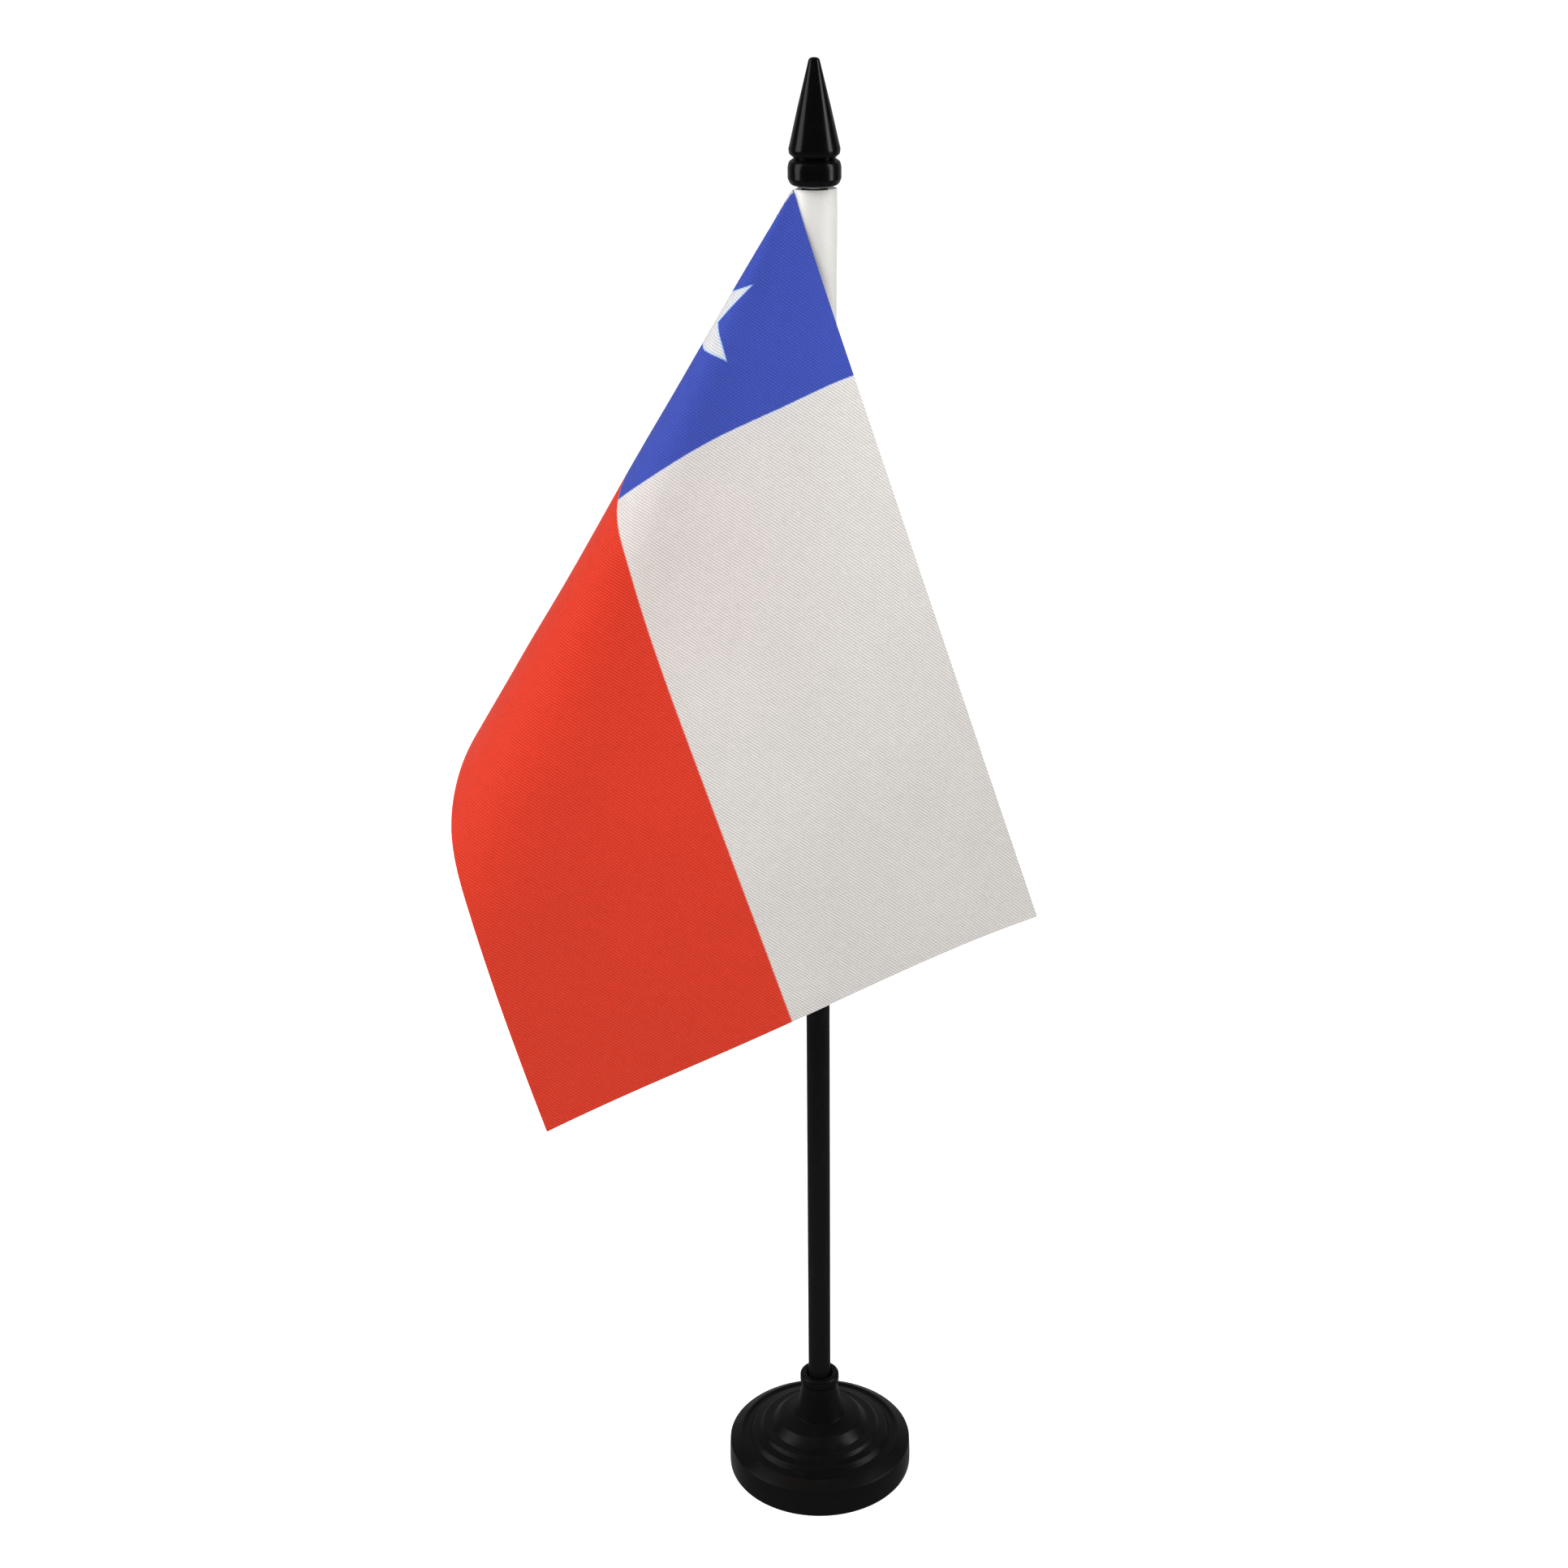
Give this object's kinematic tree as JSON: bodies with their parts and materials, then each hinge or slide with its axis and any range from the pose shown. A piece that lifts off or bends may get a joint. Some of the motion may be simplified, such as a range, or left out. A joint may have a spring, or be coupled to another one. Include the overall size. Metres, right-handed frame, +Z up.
{
  "type": "desk flag stand",
  "caption": "Small desk flag on a plain upright pole with a spear finial and a round stepped foot, the cloth hung from a sewn sleeve and folded across the pole.",
  "frame": {"origin": "middle of the foot's underside, on the pole's axis", "axes": "+Z up along the pole; +X to the right and -Y towards the viewer of the printed front layer"},
  "size_m": [0.1095, 0.0583, 0.3],
  "materials": {
    "black_satin_plastic": "satin black moulded plastic",
    "black_gloss_plastic": "glossy black moulded plastic",
    "printed_polyester": "thin polyester twill printed in a red band, a white band and a blue square with a white star",
    "white_polyester": "the same polyester, unprinted",
    "white_thread": "white polyester sewing thread"
  },
  "bodies": {
    "base": {"base": "black_satin_plastic"},
    "pole": {"pole": "black_satin_plastic"},
    "finial": {"finial": "black_gloss_plastic"},
    "flag": {"flag_cloth": "printed_polyester", "pole_sleeve": "white_polyester", "seam_thread": "white_thread"}
  },
  "joints": [
    {"name": "pole_pull_out", "type": "slide", "parent": "base", "child": "pole", "axis": [0, 0, 1], "range_m": [0, 0.021]},
    {"name": "finial_pull_off", "type": "slide", "parent": "pole", "child": "finial", "axis": [0, 0, 1], "range_m": [0, 0.0064]},
    {"name": "flag_swivel", "type": "hinge", "parent": "pole", "child": "flag", "pos_m": [0, 0, 0.2], "axis": [0, 0, 1], "continuous": true}
  ]
}
